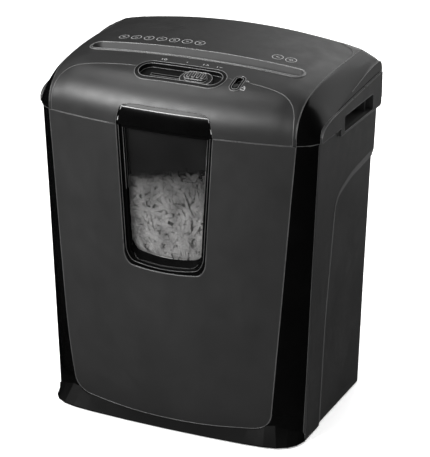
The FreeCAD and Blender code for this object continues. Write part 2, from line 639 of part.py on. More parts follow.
def make_cutters():
    count = int(2 * (PLATE_X - 2.0) / DISC_PITCH)
    first = -count * DISC_PITCH / 2
    for name, y, shift, turn in (("front", FRONT_Y, 0.0, 1), ("rear", REAR_Y, DISC_PITCH / 2, -1)):
        hexed = hexagon(-115.0, 115.0, y)
        ends = (-128.0, 118.8) if name == "front" else (-128.0, 127.0)
        shaft = hexed.fuse(rod_x(JOURNAL_R, ends[0], ends[1], y, AXIS_Z))
        keep("cutter_shaft_" + name, shaft)
        hole = hexagon(-120.0, 120.0, y)
        discs, spacers = [], []
        for i in range(count):
            x = first + shift + i * DISC_PITCH
            if x + DISC_THICK > 114.5:
                continue
            disc = slab(disc_outline(x, y, turn * 11.0 * i), (DISC_THICK, 0, 0)).cut(hole)
            discs.append(disc)
            gap_end = min(x + DISC_PITCH, 114.5)
            spacers.append(rod_x(SPACER_R, x + DISC_THICK, gap_end, y, AXIS_Z).cut(hole))
        keep("cutter_discs_" + name, Part.Compound(discs))
        keep("disc_spacers_" + name, Part.Compound(spacers))
        back = -1 if name == "front" else 1
        rail_y = sorted((y + back * (DISC_R + 1.0), y + back * (DISC_R + 5.0)))
        rail = block(-114.5, 114.5, rail_y[0], rail_y[1], AXIS_Z - 7.0, AXIS_Z + 7.0)
        finger_y = sorted((y + back * (SPACER_R + 0.6), y + back * (DISC_R + 1.5)))
        for i in range(count):
            x = first + shift + i * DISC_PITCH + DISC_THICK + 0.5
            if x + 3.2 < 114.0:
                rail = rail.fuse(block(x, x + 3.2, finger_y[0], finger_y[1], AXIS_Z - 3.0, AXIS_Z + 3.0))
        keep("stripper_comb_" + name, rail)

    outline = [(-56.0, 318.0), (76.0, 314.5), (76.0, 360.0), (40.0, 371.5), (10.0, 360.0), (-56.0, 358.5)]
    bushes = []
    for side, name in ((-1, "left"), (1, "right")):
        x0 = PLATE_X if side > 0 else -PLATE_X - PLATE_THICK
        plate = slab(polygon([(x0, y, z) for y, z in outline]), (PLATE_THICK, 0, 0))
        for y in (FRONT_Y, REAR_Y):
            plate = plate.cut(rod_x(6.0, x0 - 1, x0 + 4, y, AXIS_Z))
        for y, z in TIE_PLACES:
            plate = plate.cut(rod_x(2.5, x0 - 1, x0 + 4, y, z))
        if side > 0:
            plate = plate.cut(rod_x(8.0, x0 - 1, x0 + 4, MOTOR_Y, AXIS_Z))
            plate = plate.cut(rod_x(3.0, x0 - 1, x0 + 4, IDLER_Y, AXIS_Z))
        keep("frame_plate_" + name, plate)
        for y in (FRONT_Y, REAR_Y):
            bush = rod_x(5.98, x0 - 0.3, x0 + PLATE_THICK + 0.3, y, AXIS_Z)
            bushes.append(bush.cut(rod_x(JOURNAL_R + RUNNING, x0 - 1, x0 + 4, y, AXIS_Z)))
    ties = [rod_x(2.45, -PLATE_X - 3.5, PLATE_X + 3.5, y, z).fuse(rod_x(3.4, -PLATE_X, PLATE_X, y, z))
            for y, z in TIE_PLACES]
    keep("shaft_bushes", Part.Compound(bushes))
    keep("tie_rods", Part.Compound(ties))
    keep("sync_gear_front", gear(SYNC_TEETH, SYNC_MODULE, -127.0, -120.0, FRONT_Y, 0.0, JOURNAL_R))
    half_tooth = 180.0 / SYNC_TEETH
    keep("sync_gear_rear", gear(SYNC_TEETH, SYNC_MODULE, -127.0, -120.0, REAR_Y, half_tooth, JOURNAL_R))


# ---------------------------------------------------------------- drive
def make_drive():
    keep("cutter_gear", gear(SLOW_TEETH, SLOW_MODULE, 119.6, 126.6, REAR_Y, 0.0, JOURNAL_R))
    half_pitch = 180.0 / SLOW_PINION
    pinion = gear(SLOW_PINION, SLOW_MODULE, 119.6, 128.0, IDLER_Y, half_pitch, 3.05)
    wheel = gear(FAST_TEETH, FAST_MODULE, 128.0, 133.0, IDLER_Y, 0.0, 3.05)
    keep("idler_gear", pinion.fuse(wheel))
    pin = rod_x(3.0, PLATE_X, 134.2, IDLER_Y, AXIS_Z).fuse(rod_x(4.4, 133.3, 134.4, IDLER_Y, AXIS_Z))
    keep("idler_pin", pin.fuse(rod_x(4.4, PLATE_X - 1.4, PLATE_X, IDLER_Y, AXIS_Z)))
    keep("motor_pinion", gear(FAST_PINION, FAST_MODULE, 127.4, 134.2, MOTOR_Y, 180.0 / FAST_PINION, 3.0))

    can = rod_x(MOTOR_R, 34.0, 108.0, MOTOR_Y, AXIS_Z)
    can = can.cut(rod_x(MOTOR_R - 2.0, 34.0, 106.2, MOTOR_Y, AXIS_Z))
    can = can.cut(rod_x(3.05, 100, 112, MOTOR_Y, AXIS_Z))
    for side in (-1, 1):
        slot_y = MOTOR_Y + side * 24.0
        can = can.cut(block(44, 60, slot_y - 6, slot_y + 6, AXIS_Z - 9, AXIS_Z + 9))
    nose = rod_x(7.9, 108.0, PLATE_X + 1.6, MOTOR_Y, AXIS_Z).cut(rod_x(3.05, 100, 125, MOTOR_Y, AXIS_Z))
    keep("motor_can", can.fuse(nose))
    cap = rod_x(MOTOR_R, 30.0, 34.0, MOTOR_Y, AXIS_Z).fuse(rod_x(8.0, 26.0, 30.0, MOTOR_Y, AXIS_Z))
    keep("motor_end_cap", cap.cut(rod_x(3.05, 20, 40, MOTOR_Y, AXIS_Z)))
    keep("armature_shaft", rod_x(3.0, 8.0, 134.4, MOTOR_Y, AXIS_Z))
    core = rod_x(15.0, 62.0, 98.0, MOTOR_Y, AXIS_Z).cut(rod_x(3.0, 60, 100, MOTOR_Y, AXIS_Z))
    for i in range(10):
        a = radians(36 * i)
        core = core.cut(rod_x(1.5, 60, 100, MOTOR_Y + 14.4 * cos(a), AXIS_Z + 14.4 * sin(a)))
    keep("armature_core", core)
    keep("commutator", rod_x(8.0, 40.0, 52.0, MOTOR_Y, AXIS_Z).cut(rod_x(3.0, 38, 54, MOTOR_Y, AXIS_Z)))
    poles = rod_x(MOTOR_R - 2.0, 62.0, 98.0, MOTOR_Y, AXIS_Z).cut(rod_x(16.0, 60, 100, MOTOR_Y, AXIS_Z))
    keep("field_magnets", poles.cut(block(60, 100, MOTOR_Y - 4, MOTOR_Y + 4, 300, 380)))
    brushes = [block(42.5, 49.5, MOTOR_Y - 3, MOTOR_Y + 3, AXIS_Z + s * 8.3 + min(0, s * 8.0),
                     AXIS_Z + s * 8.3 + max(0, s * 8.0)) for s in (-1, 1)]
    keep("motor_brushes", Part.Compound(brushes))
    fan = rod_x(6.0, 10.0, 18.0, MOTOR_Y, AXIS_Z).fuse(rod_x(20.0, 10.0, 11.4, MOTOR_Y, AXIS_Z))
    for i in range(8):
        blade = block(11.2, 18.0, 5.0, 20.0, -0.7, 0.7)
        blade.Placement = FreeCAD.Placement(V(0, MOTOR_Y, AXIS_Z), FreeCAD.Rotation(V(1, 0, 0), 45 * i))
        fan = fan.fuse(blade)
    keep("motor_fan", fan.cut(rod_x(3.0, 5, 25, MOTOR_Y, AXIS_Z)))

    lever = block(-1.5, 1.5, LEVER_PIVOT[0], -15.5, 363.4, 365.6).fuse(rod_x(3.0, -1.5, 1.5, *LEVER_PIVOT))
    keep("paper_lever", lever.cut(rod_x(1.05, -3, 3, *LEVER_PIVOT)))
    keep("lever_pin", rod_x(1.0, -6.4, 6.4, *LEVER_PIVOT))


make_bin()
make_covers()
make_controls()
make_housing()
make_cutters()
make_drive()

os.makedirs("parts", exist_ok=True)
for name, shape in parts.items():
    shape.exportStep("parts/%s.step" % name)
    print(name, shape.isValid(), len(shape.Solids), round(shape.Volume))
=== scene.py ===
import json
import math
import random

import bmesh
import bpy
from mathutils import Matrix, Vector, noise
from mathutils.bvhtree import BVHTree


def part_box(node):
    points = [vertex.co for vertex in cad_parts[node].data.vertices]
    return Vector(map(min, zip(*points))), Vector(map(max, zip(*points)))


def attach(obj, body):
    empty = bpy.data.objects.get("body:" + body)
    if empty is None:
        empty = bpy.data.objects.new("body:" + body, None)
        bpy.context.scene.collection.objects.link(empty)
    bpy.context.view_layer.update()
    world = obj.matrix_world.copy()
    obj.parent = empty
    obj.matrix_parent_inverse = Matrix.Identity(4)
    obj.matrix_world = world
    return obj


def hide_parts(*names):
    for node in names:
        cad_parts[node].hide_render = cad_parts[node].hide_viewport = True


# The looks of a desk-side paper shredder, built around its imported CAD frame.
# Metres, +X to the user's right, +Y to the rear, +Z up.

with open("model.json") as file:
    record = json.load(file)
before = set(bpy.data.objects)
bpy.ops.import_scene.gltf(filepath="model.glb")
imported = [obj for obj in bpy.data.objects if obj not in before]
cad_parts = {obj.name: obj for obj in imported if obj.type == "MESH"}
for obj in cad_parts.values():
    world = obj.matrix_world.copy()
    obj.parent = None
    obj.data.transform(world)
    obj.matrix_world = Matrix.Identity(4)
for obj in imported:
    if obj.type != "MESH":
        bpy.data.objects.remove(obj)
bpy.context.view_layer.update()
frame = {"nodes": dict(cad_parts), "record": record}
nodes = frame["nodes"]

MM = 0.001
random.seed(7)


# ---------------------------------------------------------------- camera, floor and lights
VIEW_AZIMUTH, VIEW_ELEVATION = 25.09, 21.81     # degrees: from the front towards +X, and up
VIEW_DISTANCE = 2.2268
VIEW_TARGET = Vector((0.0, 0.0125, 0.192))
LENS, SENSOR = 166.4, 36.0
SHIFT = (0.0100, -0.0126)

# Softboxes: azimuth, elevation, distance, width, height, power in watts.
SOFTBOXES = {
    "front_box": (-33, 25, 1.5, 1.0, 0.55, 36),
    "top_box": (-80, 66, 1.4, 0.75, 0.55, 7),
    "rear_box": (180, 42, 1.8, 1.2, 0.6, 3),
    "right_box": (160, 27, 1.8, 2.3, 1.5, 18),
    "low_card": (158, -11, 0.9, 1.0, 0.24, 0.35),
}
LIGHT_TARGET = Vector((0.0, 0.0, 0.3))
FLOOR_SIZE = 12.0


def direction(azimuth, elevation):
    """Unit vector towards a place seen from the object; azimuth 0 is the front, 90 is +X."""
    a, e = math.radians(azimuth), math.radians(elevation)
    return Vector((math.sin(a) * math.cos(e), -math.cos(a) * math.cos(e), math.sin(e)))


def aim(obj, place, target):
    obj.location = place
    obj.rotation_euler = (target - place).to_track_quat("-Z", "Y").to_euler()


def make_camera():
    data = bpy.data.cameras.new("camera")
    data.lens, data.sensor_width = LENS, SENSOR
    data.shift_x, data.shift_y = SHIFT
    data.clip_start, data.clip_end = 0.05, 50.0
    camera = bpy.data.objects.new("camera", data)
    bpy.context.scene.collection.objects.link(camera)
    aim(camera, VIEW_TARGET + direction(VIEW_AZIMUTH, VIEW_ELEVATION) * VIEW_DISTANCE, VIEW_TARGET)
    bpy.context.scene.camera = camera


def softbox(name, azimuth, elevation, distance, width, height, power):
    """Rectangular studio light that faces the upper part of the object."""
    data = bpy.data.lights.new(name, "AREA")
    data.shape = "RECTANGLE"
    data.size, data.size_y = width, height
    data.energy = power
    light = bpy.data.objects.new(name, data)
    light.visible_camera = False
    bpy.context.scene.collection.objects.link(light)
    aim(light, LIGHT_TARGET + direction(azimuth, elevation) * distance, LIGHT_TARGET)


def make_studio():
    """White surroundings that light the object softly but don't mirror in it, and the softboxes."""
    scene = bpy.context.scene
    scene.view_settings.view_transform = "Standard"
    scene.view_settings.look = "None"
    world = bpy.data.worlds.new("studio")
    scene.world = world
    world.use_nodes = True
    back = world.node_tree.nodes["Background"]
    back.inputs["Color"].default_value = (1.0, 1.0, 1.0, 1.0)
    back.inputs["Strength"].default_value = 1.0
    world.cycles_visibility.glossy = False
    for name, setting in SOFTBOXES.items():
        softbox(name, *setting)


def make_floor():
    bpy.ops.mesh.primitive_grid_add(x_subdivisions=8, y_subdivisions=8, size=FLOOR_SIZE, location=(0, 0, 0))
    floor = bpy.context.object
    floor.name = "floor"
    material = bpy.data.materials.new("floor_paper")
    material.use_nodes = True
    shader = material.node_tree.nodes["Principled BSDF"]
    shader.inputs["Base Color"].default_value = (0.9, 0.9, 0.9, 1.0)
    shader.inputs["Roughness"].default_value = 0.9
    shader.inputs["Emission Color"].default_value = (1.0, 1.0, 1.0, 1.0)
    shader.inputs["Emission Strength"].default_value = 0.3
    floor.data.materials.append(material)
    floor.visible_glossy = False


# ---------------------------------------------------------------- materials
class Look:
    """A node material under construction, with short helpers for its texture nodes."""

    def __init__(self, name):
        self.material = bpy.data.materials.new(name)
        self.material.use_nodes = True
        self.tree = self.material.node_tree
        self.shader = self.tree.nodes["Principled BSDF"]
        self.place = self.tree.nodes.new("ShaderNodeTexCoord").outputs["Object"]

    def link(self, source, target):
        self.tree.links.new(source, target)

    def set(self, **values):
        for name, value in values.items():
            self.shader.inputs[name.replace("_", " ")].default_value = value

    def to(self, socket, source):
        """Feeds one of the shader's own sockets."""
        self.link(source, self.shader.inputs[socket])

    def stretched(self, scale):
        node = self.tree.nodes.new("ShaderNodeMapping")
        node.inputs["Scale"].default_value = scale
        self.link(self.place, node.inputs["Vector"])
        return node.outputs["Vector"]

    def noise(self, scale, detail, where=None):
        node = self.tree.nodes.new("ShaderNodeTexNoise")
        node.inputs["Scale"].default_value = scale
        node.inputs["Detail"].default_value = detail
        self.link(where or self.place, node.inputs["Vector"])
        return node.outputs["Fac"]

    def cells(self, scale):
        node = self.tree.nodes.new("ShaderNodeTexVoronoi")
        node.inputs["Scale"].default_value = scale
        self.link(self.place, node.inputs["Vector"])
        return node.outputs["Distance"]

    def axes(self):
        """The place's X, Y and Z, each as a socket."""
        node = self.tree.nodes.new("ShaderNodeSeparateXYZ")
        self.link(self.place, node.inputs["Vector"])
        return node.outputs

    def maths(self, operation, *values):
        """A maths node; its values are sockets or plain numbers."""
        node = self.tree.nodes.new("ShaderNodeMath")
        node.operation = operation
        for socket, value in zip(node.inputs, values):
            if isinstance(value, float):
                socket.default_value = value
            else:
                self.link(value, socket)
        return node.outputs["Value"]

    def dimmed(self, colour, factor):
        node = self.tree.nodes.new("ShaderNodeVectorMath")
        node.operation = "SCALE"
        self.link(colour, node.inputs[0])
        self.link(factor, node.inputs["Scale"])
        return node.outputs["Vector"]

    def spread(self, value, low, high, start=0.3, end=0.7):
        """Maps a value from start and end to low and high."""
        node = self.tree.nodes.new("ShaderNodeMapRange")
        node.inputs["From Min"].default_value = start
        node.inputs["From Max"].default_value = end
        node.inputs["To Min"].default_value = low
        node.inputs["To Max"].default_value = high
        self.link(value, node.inputs["Value"])
        return node.outputs["Result"]

    def tint(self, value, dark, light, start=0.3, end=0.7):
        """Colour that runs from dark at the start value to light at the end value."""
        node = self.tree.nodes.new("ShaderNodeValToRGB")
        ramp = node.color_ramp
        ramp.elements[0].position, ramp.elements[1].position = start, end
        ramp.elements[0].color, ramp.elements[1].color = (*dark, 1.0), (*light, 1.0)
        self.link(value, node.inputs["Fac"])
        return node.outputs["Color"]

    def rounded(self, radius):
        """Normals that run softly over every sharp edge, as on a moulded or deburred piece."""
        node = self.tree.nodes.new("ShaderNodeBevel")
        node.samples = 6
        node.inputs["Radius"].default_value = radius
        return node.outputs["Normal"]

    def relief(self, height, distance, strength, edge=0.0):
        """Normals of a fine relief, over softened edges where an edge radius is given."""
        node = self.tree.nodes.new("ShaderNodeBump")
        node.inputs["Strength"].default_value = strength
        node.inputs["Distance"].default_value = distance
        self.link(height, node.inputs["Height"])
        if edge > 0:
            self.link(self.rounded(edge), node.inputs["Normal"])
        return node.outputs["Normal"]


def grey(level, warm=0.0):
    """A grey, or with warm above zero one that leans to yellow."""
    return (level * (1 + warm), level, level * (1 - warm))


# Radii of the softened edges: matt plastic, polished plastic, and metal and gears.
PLASTIC_EDGE, GLOSS_EDGE, FINE_EDGE = 0.0007, 0.0008, 0.0003

# The step round the window pane, in the bin's own shell, painted dark as shade: how far it reaches to the
# sides and to the rear, and how far it is dimmed.
STEP_SIDE = (0.0530, 0.0536)
STEP_REAR = (-0.0845, -0.0835)
STEP_SHADE = 0.05


def painted_step_shade(look):
    """1 everywhere but on the step that frames the window pane, where it falls to STEP_SHADE as painted
    shade.
    """
    place = look.axes()
    beside = look.spread(look.maths("ABSOLUTE", place["X"]), STEP_SHADE, 1.0, *STEP_SIDE)
    behind = look.spread(place["Y"], STEP_SHADE, 1.0, *STEP_REAR)
    return look.maths("MAXIMUM", beside, behind)


def moulded(name, level, roughness, grain=0.00006, grain_scale=2600.0, gloss=0.5, uneven=0.10, shade=None):
    """Injection-moulded plastic: fine spark-eroded grain over slow waves of tone."""
    look = Look(name)
    colour = look.tint(look.noise(14.0, 2.0), grey(level * (1 - uneven)), grey(level * (1 + uneven)))
    look.set(Specular_IOR_Level=gloss)
    # Where shade is given, it paints shade: it dims the colour and the reflection.
    if shade:
        factor = shade(look)
        colour = look.dimmed(colour, factor)
        look.to("Specular IOR Level", look.spread(factor, 0.0, gloss, 0.0, 1.0))
    look.to("Base Color", colour)
    look.to("Roughness", look.spread(look.noise(60.0, 4.0), roughness * 0.92, roughness * 1.08))
    look.to("Normal", look.relief(look.noise(grain_scale, 2.0), grain, 0.5, PLASTIC_EDGE))
    return look.material


def charcoal(name, level, roughness, shade=None):
    """The coarser grain of the big matt mouldings."""
    return moulded(name, level, roughness, grain=0.00009, grain_scale=1900.0, shade=shade)


def polished(name, level, low, high, gloss=0.14):
    """Polished black ABS with the faint swirls and waviness of a moulded gloss part."""
    look = Look(name)
    look.to("Base Color", look.tint(look.noise(22.0, 2.0), grey(level * 0.8), grey(level * 1.2)))
    wipe = look.noise(90.0, 5.0, look.stretched((1.0, 1.0, 0.35)))
    look.to("Roughness", look.spread(wipe, low, high))
    look.set(Specular_IOR_Level=gloss)
    look.to("Normal", look.relief(look.noise(45.0, 1.0), 0.00012, 0.35, GLOSS_EDGE))
    return look.material


SKIRT_TOP = (0.022, 0.040)                       # heights between which the foot turns into the upright faces


def skirted(name):
    """Black ABS of the bin's surround: polished on its upright faces, satin on its sloping foot."""
    look = Look(name)
    look.to("Base Color", look.tint(look.noise(22.0, 2.0), grey(0.0008), grey(0.0014)))
    height = look.axes()["Z"]
    wipe = look.spread(look.noise(90.0, 5.0), -0.03, 0.03)
    look.to("Roughness", look.maths("ADD", look.spread(height, 0.58, 0.10, *SKIRT_TOP), wipe))
    look.to("Specular IOR Level", look.spread(height, 0.08, 0.2, *SKIRT_TOP))
    look.to("Normal", look.relief(look.noise(45.0, 1.0), 0.0001, 0.35, GLOSS_EDGE))
    return look.material


PANE_SHADE_BAND = (0.284, 0.292)                       # heights between which the pane turns dark, as painted shade above the paper
PANE_SHADE_RISE = (-0.2, 0.0, 1.0)                # the band's lower edge climbs towards +X
PANE_SHADE_RAGGED = 0.012


def smoked(name, clear, dark):
    """Tinted pane; its dark band across the top, above the level of the paper, is painted shade."""
    look = Look(name)
    level = look.tree.nodes.new("ShaderNodeVectorMath")
    level.operation = "DOT_PRODUCT"
    level.inputs[1].default_value = PANE_SHADE_RISE
    look.link(look.place, level.inputs[0])
    ragged = look.maths("MULTIPLY_ADD", look.noise(150.0, 3.0), PANE_SHADE_RAGGED, level.outputs["Value"])
    look.to("Alpha", look.spread(ragged, clear, dark, *PANE_SHADE_BAND))
    look.to("Base Color", look.tint(look.noise(18.0, 2.0), grey(0.004), grey(0.007)))
    look.to("Roughness", look.spread(look.noise(120.0, 4.0), 0.04, 0.09))
    look.set(IOR=1.49)
    look.to("Normal", look.relief(look.noise(60.0, 1.0), 0.00008, 0.3))
    return look.material


HEAP_SHADE = (0.235, 0.278)                      # heights between which painted shade darkens the paper


def paper(name, dark, light):
    """Office paper, darkened by painted shade towards the loose top of the heap."""
    look = Look(name)
    colour = look.tint(look.noise(70.0, 4.0), grey(dark, 0.01), grey(light, 0.01), 0.35, 0.62)
    look.to("Base Color", look.dimmed(colour, look.spread(look.axes()["Z"], 1.0, 0.25, *HEAP_SHADE)))
    look.to("Roughness", look.spread(look.noise(900.0, 3.0), 0.75, 0.95))
    look.to("Normal", look.relief(look.noise(3500.0, 4.0), 0.00005, 0.4))
    return look.material


def rubber(name):
    """Pebbled rubber of the feet."""
    look = Look(name)
    look.to("Base Color", look.tint(look.noise(160.0, 4.0), grey(0.010), grey(0.022)))
    look.to("Roughness", look.spread(look.noise(400.0, 3.0), 0.7, 0.9))
    look.to("Normal", look.relief(look.cells(1600.0), 0.0001, 0.4))
    return look.material


def steel(name, level, roughness, along, warm=0.0):
    """Ground or plated metal, with fine machining lines drawn out along one way."""
    look = Look(name)
    lines = look.noise(900.0, 5.0, look.stretched(along))
    look.to("Base Color", look.tint(lines, grey(level * 0.75, warm), grey(level * 1.2, warm)))
    look.set(Metallic=1.0)
    look.to("Roughness", look.spread(look.noise(60.0, 4.0), roughness * 0.75, roughness * 1.3))
    look.to("Normal", look.relief(lines, 0.00004, 0.4, FINE_EDGE))
    return look.material


def nylon(name, level):
    """Natural gear nylon, a little translucent and yellowed."""
    look = Look(name)
    dark = (level * 0.86, level * 0.84, level * 0.76)
    light = (level, level * 0.98, level * 0.9)
    look.to("Base Color", look.tint(look.noise(80.0, 3.0), dark, light))
    look.to("Roughness", look.spread(look.noise(300.0, 3.0), 0.35, 0.5))
    look.set(Subsurface_Weight=0.1, Subsurface_Scale=0.002)
    look.to("Normal", look.relief(look.noise(1500.0, 2.0), 0.00003, 0.4, FINE_EDGE))
    return look.material


def board(name):
    """Green solder mask over the weave of a glass-fibre board."""
    look = Look(name)
    weave = look.noise(1400.0, 2.0, look.stretched((1.0, 0.25, 1.0)))
    look.to("Base Color", look.tint(weave, (0.008, 0.045, 0.018), (0.016, 0.085, 0.034)))
    look.to("Roughness", look.spread(look.noise(90.0, 3.0), 0.25, 0.45))
    look.to("Normal", look.relief(weave, 0.00003, 0.4))
    return look.material


def print_ink(name, level):
    """Pad-printed light ink, a little broken up by the grain under it."""
    look = Look(name)
    look.to("Base Color", look.tint(look.noise(1800.0, 3.0), grey(level * 0.7), grey(level), 0.35, 0.6))
    look.to("Roughness", look.spread(look.noise(500.0, 2.0), 0.5, 0.7))
    look.to("Normal", look.relief(look.noise(2600.0, 2.0), 0.00004, 0.4))
    return look.material


def make_looks():
    return {
        "satin_black": moulded("satin_black", 0.011, 0.44),
        "charcoal": charcoal("charcoal", 0.019, 0.55),
        "bin_charcoal_step_shade": charcoal("bin_charcoal_step_shade", 0.019, 0.55, shade=painted_step_shade),
        # About three times as light as the wall's charcoal: a painted highlight on the recess slopes.
        "slope_charcoal_painted_highlight": charcoal("slope_charcoal_painted_highlight", 0.06, 0.42),
        # A darker copy of the charcoal for the top cover: painted shade on its upward face.
        "top_charcoal_shaded": charcoal("top_charcoal_shaded", 0.0085, 0.52),
        "gloss_black": polished("gloss_black", 0.0012, 0.14, 0.20),
        # Lighter copies of the polished black for the edge beads: painted sheen and painted highlights.
        "edge_painted_sheen": polished("edge_painted_sheen", 0.05, 0.25, 0.4, 0.6),
        "edge_painted_highlight": polished("edge_painted_highlight", 0.13, 0.2, 0.35, 0.7),
        "tab_painted_highlight": polished("tab_painted_highlight", 0.26, 0.15, 0.3, 0.8),
        "gloss_surround": skirted("gloss_surround"),
        "smoked_pane": smoked("smoked_pane", 0.40, 0.97),
        "rubber": rubber("rubber"),
        # The heap's body is a darker copy of the strips' paper: painted shade in the gaps between the strips.
        "shredded_paper": paper("shredded_paper", 0.16, 0.36),
        "paper_strips": paper("paper_strips", 0.5, 0.9),
        "grey_liner": moulded("grey_liner", 0.035, 0.42, uneven=0.06),
        "dark_tray": moulded("dark_tray", 0.003, 0.4, gloss=0.12),
        "slider_grey": moulded("slider_grey", 0.014, 0.3, gloss=0.3),
        "zinc_steel": steel("zinc_steel", 0.55, 0.34, (1.0, 0.2, 1.0), 0.01),
        "tool_steel": steel("tool_steel", 0.36, 0.28, (0.15, 1.0, 1.0)),
        "bronze": steel("bronze", 0.34, 0.4, (1.0, 1.0, 1.0), 0.35),
        "copper": steel("copper", 0.42, 0.3, (0.2, 1.0, 1.0), 0.5),
        "gear_nylon": nylon("gear_nylon", 0.72),
        "board_green": board("board_green"),
        "motor_paint": moulded("motor_paint", 0.06, 0.38),
        "magnet_grey": moulded("magnet_grey", 0.05, 0.6),
    }


looks = make_looks()
ink = print_ink("light_ink", 0.42)
slot_of = {entry["node"]: entry["material_slot"] for entry in frame["record"]["subparts"]}


def dress(obj, look):
    """Gives every material slot of an object the same material."""
    if not obj.data.materials:
        obj.data.materials.append(look)
    for index in range(len(obj.data.materials)):
        obj.data.materials[index] = look


def dress_frame():
    """Every CAD node in the look of its slot, with three nodes' looks changed: a polished surround, and
    painted shade on the top cover and on the bin's window step.
    """
    for name, obj in nodes.items():
        dress(obj, looks[slot_of[name]])
    dress(nodes["gloss_frame"], looks["gloss_surround"])
    dress(nodes["top_cover"], looks["top_charcoal_shaded"])
    dress(nodes["bin_shell"], looks["bin_charcoal_step_shade"])


def piece(name, mesh, body, look, smooth=True):
    """A new object from a bmesh, riding on a CAD body with the look it is given."""
    data = bpy.data.meshes.new(name)
    bmesh.ops.recalc_face_normals(mesh, faces=mesh.faces)
    for face in mesh.faces:
        face.smooth = smooth
    mesh.to_mesh(data)
    mesh.free()
    obj = bpy.data.objects.new(name, data)
    bpy.context.scene.collection.objects.link(obj)
    data.materials.append(look)
    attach(obj, body)
    return obj


def surface_of(*names):
    """Search tree over the surfaces of some CAD nodes, in the frame's own coordinates."""
    points, faces = [], []
    for name in names:
        start = len(points)
        points += [vertex.co.copy() for vertex in nodes[name].data.vertices]
        faces += [[start + i for i in polygon.vertices] for polygon in nodes[name].data.polygons]
    return BVHTree.FromPolygons(points, faces)


def join_rows(mesh, rows):
    """Faces between neighbouring rows of vertices."""
    for p, q in zip(rows, rows[1:]):
        for k in range(len(p) - 1):
            mesh.faces.new((p[k], p[k + 1], q[k + 1], q[k]))


# ---------------------------------------------------------------- rolled edges of the mouldings, in lighter looks that paint highlights on them
BEAD_RADIUS = 0.0003
SHARP_EDGE = math.radians(38)
SHORTEST_RUN = 0.004
FACING = 0.72                                    # cosine above which a face counts as looking outward
WELD = 0.00002


def chains(edges):
    """Joins loose mesh edges into runs of points."""
    beyond = {}
    for edge in edges:
        for a, b in (edge.verts, reversed(edge.verts)):
            beyond.setdefault(a, []).append(b)
    used, runs = set(), []
    for start in sorted(beyond, key=lambda vertex: (len(beyond[vertex]) == 2, vertex.index)):
        for step in beyond[start]:
            if frozenset((start, step)) in used:
                continue
            run = [start, step]
            used.add(frozenset(run))
            while len(beyond[run[-1]]) == 2:
                onward = [v for v in beyond[run[-1]] if frozenset((run[-1], v)) not in used]
                if not onward:
                    break
                used.add(frozenset((run[-1], onward[0])))
                run.append(onward[0])
            runs.append([vertex.co.copy() for vertex in run])
    return runs


def bead(name, runs, body, look, radius):
    """Round bead along some runs of points."""
    curve = bpy.data.curves.new(name, "CURVE")
    curve.dimensions = "3D"
    curve.bevel_depth = radius
    curve.bevel_resolution = 1
    for run in runs:
        path = curve.splines.new("POLY")
        path.points.add(len(run) - 1)
        for point, place in zip(path.points, run):
            point.co = (*place, 1.0)
    obj = bpy.data.objects.new(name, curve)
    bpy.context.scene.collection.objects.link(obj)
    curve.materials.append(look)
    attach(obj, body)


def rolled_edge(node, body, look, outward, radius=BEAD_RADIUS, low=(-1, -1, -1), high=(1, 1, 1)):
    """A fine bead along the sharp edges of a CAD shell between two corners that border an outward face; its
    lighter look paints a highlight along the edge.
    """
    mesh = bmesh.new()
    mesh.from_mesh(nodes[node].data)
    bmesh.ops.remove_doubles(mesh, verts=mesh.verts, dist=WELD)
    mesh.verts.index_update()
    mesh.normal_update()
    sharp = []
    for edge in mesh.edges:
        if len(edge.link_faces) != 2 or edge.calc_face_angle(0.0) < SHARP_EDGE:
            continue
        middle = (edge.verts[0].co + edge.verts[1].co) / 2
        if any(middle[i] < low[i] or middle[i] > high[i] for i in range(3)):
            continue
        if any(face.normal.dot(way) > FACING for face in edge.link_faces for way in outward):
            sharp.append(edge)
    runs = [run for run in chains(sharp)
            if sum((q - p).length for p, q in zip(run, run[1:])) > SHORTEST_RUN]
    mesh.free()
    bead(node + "_edge", runs, body, look, radius)


def tab_outline():
    """The polished rim round the finger tab, light in colour as a painted highlight: up one side, over the
    top and down the other.
    """
    low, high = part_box("window_tab")
    skin = surface_of("window_tab")
    reach, top, corner = (high[0] - low[0]) / 2 - 0.0012, high[2] - 0.0042, 0.005
    middle = (low[0] + high[0]) / 2
    side = [(-reach, low[2] + 0.004)]
    for step in range(9):
        turn = math.radians(180 - step * 11.25)
        side.append((-reach + corner + corner * math.cos(turn), top - corner + corner * math.sin(turn)))
    over = [(x * 0.004, top) for x in range(-6, 7)]
    run = []
    for x, z in side + over + [(-x, z) for x, z in reversed(side)]:
        place = skin.ray_cast(Vector((middle + x, -0.2, z)), Vector((0, 1, 0)))[0]
        if place is not None:
            run.append(place)
    bead("window_tab_rim", [run], "head", looks["tab_painted_highlight"], 0.00055)


def make_edges():
    front, up, right, left = Vector((0, -1, 0)), Vector((0, 0, 1)), Vector((1, 0, 0)), Vector((-1, 0, 0))
    nose, controls = Vector((0, -0.7, 0.7)), Vector((0, -0.326, 0.946))
    # The beads' lighter looks paint highlights along the edges.
    painted_sheen, painted_highlight = looks["edge_painted_sheen"], looks["edge_painted_highlight"]
    rolled_edge("front_panel", "bin", painted_sheen, [front], radius=0.00034)
    rolled_edge("gloss_frame", "bin", painted_sheen, [right, left])
    rolled_edge("window_frame", "bin", painted_sheen, [front], high=(1, -0.09, 0.324))
    rolled_edge("bin_shell", "bin", painted_sheen, [right, left], low=(-1, -1, 0.29))
    rolled_edge("feed_funnel", "head", painted_highlight, [up], low=(-1, -1, 0.37))
    rolled_edge("mode_slider", "mode_slider", looks["tab_painted_highlight"], [controls])
    rolled_edge("top_cover", "head", painted_sheen, [up, nose])
    rolled_edge("control_bezel", "head", painted_sheen, [front, nose])
    tab_outline()
    rolled_edge("control_tray", "head", painted_highlight, [controls])
    rolled_edge("lock_tray", "head", painted_highlight, [controls])
    for side, way in (("right", right), ("left", left)):
        rolled_edge("trim_" + side, "head", painted_sheen, [way, front, nose, (nose + way).normalized()])
        rolled_edge("side_panel_" + side, "head", painted_sheen, [way])


